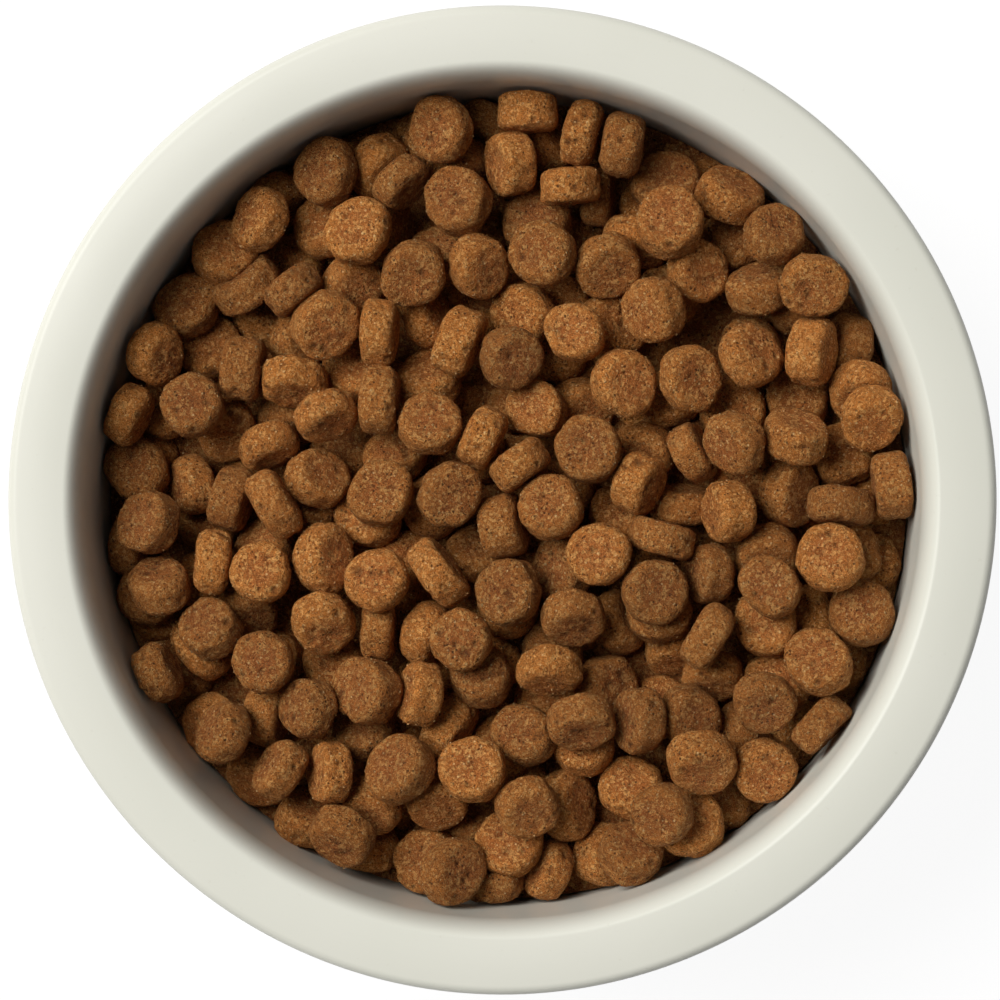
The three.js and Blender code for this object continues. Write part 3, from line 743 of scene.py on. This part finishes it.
# The food's colours, as the shader takes them
BROWN = (0.375, 0.106, 0.0185, 1)
LIGHT_BROWN = (0.50, 0.16, 0.03, 1)
WARM_BROWN = (0.54, 0.165, 0.038, 1)
GOLDEN_SKIN = (0.60, 0.22, 0.036, 1)
DARK_CRUMB = (0.18, 0.04, 0.006, 1)
LIGHT_CRUMB = (0.80, 0.40, 0.12, 1)
DARK_GRAIN = (0.16, 0.036, 0.005, 1)
LIGHT_GRAIN = (0.86, 0.47, 0.15, 1)
BRAN_COLOR = (0.88, 0.58, 0.26, 1)
# Painted shade, for the pores and the narrow dents
PORE_SHADE = (0.06, 0.015, 0.003, 1)
PIECE_SHADES = (0.78, 1.24)  # of the darkest and the lightest piece

# The bowl's colours
GLAZE = (0.725, 0.725, 0.645, 1)
LIGHT_GLAZE = (0.755, 0.752, 0.675, 1)
GLAZE_SPECKLE = (0.5, 0.46, 0.36, 1)
CLAY = (0.50, 0.40, 0.29, 1)
LIGHT_CLAY = (0.64, 0.54, 0.41, 1)


def kibble_material():
    """Baked meal: crumbs of many browns, bran, painted shade in pores and dents. Scales per
    millimetre.
    """
    n = Nodes("kibble")
    crumb = n.attribute("crumb", vector=True)
    tone, hue = n.attribute("tone"), n.attribute("hue")
    rim, dent_shade, bran = n.attribute("rim"), n.attribute("dent_shade"), n.attribute("bran")

    cloud = n.noise(crumb, 0.42, 2.0)
    grain = n.noise(crumb, 2.1, 3.0, 0.72)
    fine = n.noise(crumb, 4.6, 2.0, 0.7)
    crumbs = n.cells(crumb, 2.1)
    crumb_parts = n.add("SeparateColor", {0: crumbs.outputs["Color"]}).outputs

    brown = n.mix(n.remap(cloud, 0.35, 0.68), BROWN, LIGHT_BROWN)
    brown = n.mix(n.math("MULTIPLY", hue, 0.5), brown, WARM_BROWN)
    # The skin round the side is more golden than the cut faces.
    brown = n.mix(n.math("MULTIPLY", rim, 0.5), brown, GOLDEN_SKIN)
    # Each crumb of the baked meal has a shade of its own.
    dark = n.remap(crumb_parts[0], 0.42, 0.05)
    brown = n.mix(n.math("MULTIPLY", dark, 0.32), brown, DARK_CRUMB)
    light = n.remap(crumb_parts[1], 0.60, 0.95)
    brown = n.mix(n.math("MULTIPLY", light, 0.75), brown, LIGHT_CRUMB)
    dark = n.remap(grain, 0.50, 0.34)
    brown = n.mix(n.math("MULTIPLY", dark, 0.6), brown, DARK_GRAIN)
    light = n.remap(fine, 0.53, 0.68)
    brown = n.mix(n.math("MULTIPLY", light, 0.7), brown, LIGHT_GRAIN)

    specks = n.cells(crumb, 0.85)
    speck = n.remap(specks.outputs["Distance"], 0.19, 0.11)
    pick = n.add("SeparateColor", {0: specks.outputs["Color"]}).outputs[0]
    speck = n.math("MULTIPLY", speck, n.remap(pick, 0.45, 0.62))
    speck = n.math("MAXIMUM", speck, bran)
    brown = n.mix(n.math("MULTIPLY", speck, 0.8), brown, BRAN_COLOR)

    # Painted shade in the pores, most of them in clusters, and in the narrow dents
    pores = n.cells(crumb, 1.35)
    pore = n.remap(pores.outputs["Distance"], 0.34, 0.16)
    chosen = n.add("SeparateColor", {0: pores.outputs["Color"]}).outputs[1]
    cluster = n.noise(crumb, 0.33, 1.0)
    chosen = n.math("ADD", chosen, n.math("MULTIPLY", n.math("SUBTRACT", cluster, 0.5), 2.2))
    pore = n.math("MULTIPLY", pore, n.remap(chosen, 0.72, 0.9))
    hollow = n.math("MAXIMUM", pore, dent_shade)
    hollow = n.math("MULTIPLY", hollow, n.math("SUBTRACT", 1.0, bran))
    # The hollows are painted dark with the shade that falls in them.
    brown = n.mix(n.math("MULTIPLY", hollow, 0.72), brown, PORE_SHADE)

    shade = n.remap(tone, 0.0, 1.0, *PIECE_SHADES)
    tint = n.add("CombineColor", {0: shade, 1: shade, 2: shade}).outputs[0]
    brown = n.mix(1.0, brown, tint, "MULTIPLY")

    normal = n.bump(n.noise(crumb, 1.1, 2.0), 0.0006)
    normal = n.bump(grain, 0.0011, normal)
    normal = n.bump(fine, 0.0004, normal)
    normal = n.bump(n.math("SUBTRACT", 1.0, hollow), 0.0003, normal)
    rough = n.remap(fine, 0.3, 0.75, 0.92, 0.6)
    shader = n.add(
        "BsdfPrincipled",
        {
            "Base Color": brown,
            "Roughness": rough,
            "Normal": normal,
            "Specular IOR Level": 0.28,
        },
    )
    n.put(n.output.inputs["Surface"], shader.outputs[0])
    return n.material


def glaze_material():
    """Off-white glaze with faint clouds and specks. Scales are per metre."""
    n = Nodes("stoneware_glaze")
    place = n.add("TexCoord").outputs["Object"]
    cloud = n.noise(place, 22.0, 2.0)
    wave = n.noise(place, 60.0, 2.0)
    speckle = n.noise(place, 900.0, 2.0)

    glaze = n.mix(n.remap(cloud, 0.3, 0.7), GLAZE, LIGHT_GLAZE)
    glaze = n.mix(n.remap(speckle, 0.66, 0.8, 0.0, 0.12), glaze, GLAZE_SPECKLE)

    # The foot ring is wiped bare of glaze, so the fired clay shows on its underside.
    height = n.add("SeparateXYZ", {0: place}).outputs[2]
    edge = n.math("ADD", height, n.math("MULTIPLY", n.math("SUBTRACT", wave, 0.5), 0.0006))
    bare = n.remap(edge, 0.0008, 0.0005)
    sand = n.noise(place, 2500.0, 3.0, 0.7)
    clay = n.mix(sand, CLAY, LIGHT_CLAY)
    color = n.mix(bare, glaze, clay)

    rough = n.math("ADD", n.remap(wave, 0.3, 0.7, 0.32, 0.38), n.math("MULTIPLY", bare, 0.6))
    normal = n.bump(cloud, 0.0004, strength=0.35)
    normal = n.bump(n.math("MULTIPLY", sand, bare), 0.0001, normal)
    shader = n.add(
        "BsdfPrincipled",
        {
            "Base Color": color,
            "Roughness": rough,
            "Normal": normal,
            "Specular IOR Level": 0.3,
        },
    )
    n.put(n.output.inputs["Surface"], shader.outputs[0])
    return n.material


def floor_material():
    """White to the camera and in reflections, with a trace of the object's shadow."""
    n = Nodes("studio_floor")
    path = n.add("LightPath").outputs
    seen = n.math("MAXIMUM", path["Is Camera Ray"], path["Is Glossy Ray"])
    seen = n.math("MAXIMUM", seen, path["Is Transmission Ray"])
    diffuse = n.add("BsdfDiffuse", {"Color": (0.8, 0.8, 0.8, 1)})
    faint = n.add("BsdfDiffuse", {"Color": (0.12, 0.12, 0.12, 1)})
    glow = n.add("Emission", {"Color": (1, 1, 1, 1), "Strength": 0.93})
    both = n.add("AddShader", {0: faint.outputs[0], 1: glow.outputs[0]})
    mix = n.add("MixShader", {0: seen, 1: diffuse.outputs[0], 2: both.outputs[0]})
    n.put(n.output.inputs["Surface"], mix.outputs[0])
    return n.material


# ---- the object

# What the photograph shows settles first, and then the filling pieces give way to it. The more
# mobile of two pieces gives way more.
heap = Heap()
loose_names = loose_pieces(heap)
loose = np.arange(len(loose_names))
upper = heap.add_places(UPPER_PLACES, UPPER_DEPTH, mobility=0.5)
lower = heap.add_places(LOWER_PLACES, LOWER_DEPTH, mobility=1.6)
heap.settle(160)
heap.mobility[:] = 0
at_wall = heap.add_places(wall_places(heap), WALL_DEPTH, mobility=1.0)
deep = heap.add_places(DEEP_PLACES, DEEP_DEPTH, mobility=1.2)
hidden = heap.add_places(hidden_places(), HIDDEN_DEPTH, mobility=3.0)
heap.settle(120)
shown = np.concatenate([loose, upper, lower])
at_wall = at_wall[heap.overlaps(at_wall, shown) < MOST_OVERLAP]
deep = deep[heap.overlaps(deep, shown) < MOST_OVERLAP]

kibble = kibble_material()
glaze = glaze_material()

bowl = lathe("bowl_glazed", bowl_profile(), 256, glaze)
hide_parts("bowl")
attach(bowl, "root")

for i, name in enumerate(loose_names):
    piece = kibble_mesh(name.replace("kibble_", "kibble_piece_"), heap, [i], 24, 14, kibble)
    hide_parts(name)
    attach(piece, "root")


def bed_object(name, members, around, high, detail=True):
    """Some of the bed's pieces, in place of the CAD's solid bed."""
    piece = kibble_mesh(name, heap, members, around, high, kibble, detail)
    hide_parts("kibble_bed")
    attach(piece, "root")


bed_object("bed_upper", upper, 24, 14)
bed_object("bed_lower_left", [i for i in lower if heap.middle[i, 0] < 0], 16, 10)
bed_object("bed_lower_right", [i for i in lower if heap.middle[i, 0] >= 0], 16, 10)
bed_object("bed_deep", [*deep, *at_wall], 12, 8)
bed_object("bed_hidden", hidden, 6, 4, detail=False)


CORE_GAP = 0.3  # between the core and the bowl's floor, in millimetres
CORE_WALL_GAP = 0.4


def core_profile():
    """The half section of the food below the pieces, which can't be seen between them."""
    center_z = FLOOR_THICKNESS + FLOOR_FILLET
    radius = INNER_RADIUS - INNER_TAPER - FLOOR_FILLET
    profile = [(0, FLOOR_THICKNESS + CORE_GAP), (radius * 0.5, FLOOR_THICKNESS + CORE_GAP)]
    profile += arc(radius, center_z, FLOOR_FILLET - CORE_GAP, -90, 0, 6)
    edge = food_height(INNER_RADIUS) - CORE_DEPTH
    for share in np.linspace(1, 0, 12):
        distance = (wall_radius(edge) - CORE_WALL_GAP) * share
        profile.append((distance, food_height(distance) - CORE_DEPTH))
    return profile


core = lathe("bed_core", core_profile(), 128, kibble)
points = np.empty(len(core.data.vertices) * 3, dtype=np.float32)
core.data.vertices.foreach_get("co", points)
set_attribute(core, "crumb", points.reshape(-1, 3) / MM)
set_attribute(core, "tone", np.zeros(len(core.data.vertices)))
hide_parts("kibble_bed")
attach(core, "root")

# ---- the stage

FLOOR_REACH = 4.0
FLOOR_DROP = 0.0002  # under the foot ring, so that the two surfaces don't share a plane
corners = [(-1, -1, 0), (1, -1, 0), (1, 1, 0), (-1, 1, 0)]
floor_mesh = bpy.data.meshes.new("floor")
floor_mesh.from_pydata((FLOOR_REACH * np.array(corners)).tolist(), [], [(0, 1, 2, 3)])
floor_mesh.materials.append(floor_material())
floor = bpy.data.objects.new("floor", floor_mesh)
floor.location.z = -FLOOR_DROP
bpy.context.scene.collection.objects.link(floor)

world = bpy.data.worlds.new("studio")
world.use_nodes = True
background = world.node_tree.nodes["Background"]
background.inputs["Color"].default_value = (0.98, 0.99, 1.0, 1)
background.inputs["Strength"].default_value = 0.1
bpy.context.scene.world = world


LIGHT_AIM_HEIGHT = 0.05  # of the point on the bowl's axis that the light faces


def soft_light(name, azimuth, elevation, distance, width, power, color):
    """A round area light that faces the bowl, its azimuth in degrees from +X towards +Y."""
    a, e = math.radians(azimuth), math.radians(elevation)
    way = (math.cos(e) * math.cos(a), math.cos(e) * math.sin(a), math.sin(e))
    data = bpy.data.lights.new(name, "AREA")
    data.shape = "DISK"
    data.size = width
    data.energy = power
    data.color = color
    light = bpy.data.objects.new(name, data)
    light.location = [distance * w for w in way]
    light.location.z += LIGHT_AIM_HEIGHT
    light.rotation_euler = (math.radians(90 - elevation), 0, math.radians(azimuth + 90))
    bpy.context.scene.collection.objects.link(light)


soft_light(
    "key",
    azimuth=150,
    elevation=55,
    distance=2.5,
    width=1.9,
    power=76,
    color=(1.0, 0.99, 0.965),
)

# The photograph looks down at the rim's middle, 2.5 degrees off the bowl's axis.
CAMERA_PLACE = np.array([0.037, 0.0, 0.9])
PHOTO_WIDTH_AT_RIM = 161.4 * MM
SENSOR_WIDTH = 36
camera_data = bpy.data.cameras.new("camera")
camera = bpy.data.objects.new("camera", camera_data)
sight = CAMERA_PLACE - (0, 0, BOWL_HEIGHT * MM)
distance = np.linalg.norm(sight)
sight /= distance
camera.location = CAMERA_PLACE
camera.rotation_euler = (-math.asin(sight[1]), math.atan2(sight[0], sight[2]), 0)
camera_data.sensor_width = SENSOR_WIDTH
camera_data.lens = SENSOR_WIDTH * distance / PHOTO_WIDTH_AT_RIM
camera_data.clip_end = 20
bpy.context.scene.collection.objects.link(camera)
bpy.context.scene.camera = camera

bpy.context.scene.view_settings.view_transform = "Standard"
